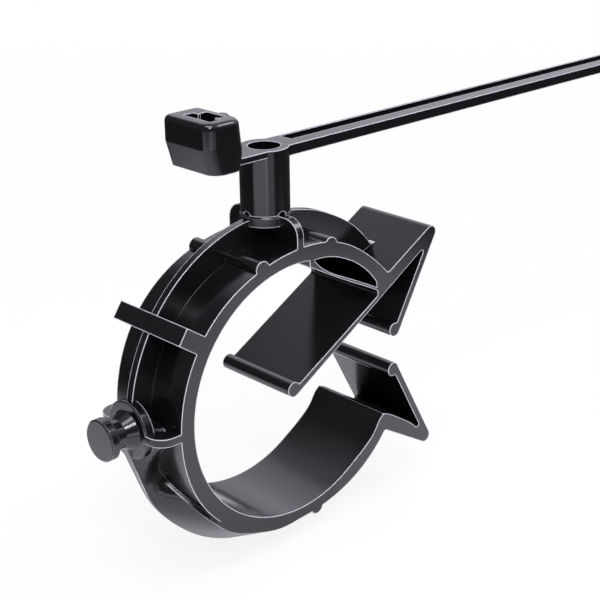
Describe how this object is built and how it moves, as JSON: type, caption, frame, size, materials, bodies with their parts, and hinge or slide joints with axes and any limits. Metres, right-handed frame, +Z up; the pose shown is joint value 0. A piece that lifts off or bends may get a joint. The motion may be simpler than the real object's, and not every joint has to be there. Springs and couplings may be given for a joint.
{
  "type": "pipe clip with swivelling cable tie",
  "caption": "Nylon clip that is pushed onto a pipe, with a lead-in mouth and spring tongue, carrying a serrated cable tie that swivels on a stud.",
  "frame": {"origin": "centre of the pipe bore, midway across the clip's width", "axes": "+X out of the clip's mouth and along the tie's strap, +Y along the pipe, +Z up the stud that the tie sits on"},
  "size_m": [0.1786, 0.0134, 0.0608],
  "materials": {
    "nylon_clip": "satin",
    "nylon_tie": "satin"
  },
  "bodies": {
    "clip": {"pipe_clip": "nylon_clip"},
    "tie": {"cable_tie": "nylon_tie"}
  },
  "joints": [
    {"name": "tie_swivel", "type": "hinge", "parent": "clip", "child": "tie", "pos_m": [0.0007, 0, 0.0275], "axis": [0, 0, 1], "continuous": true}
  ]
}
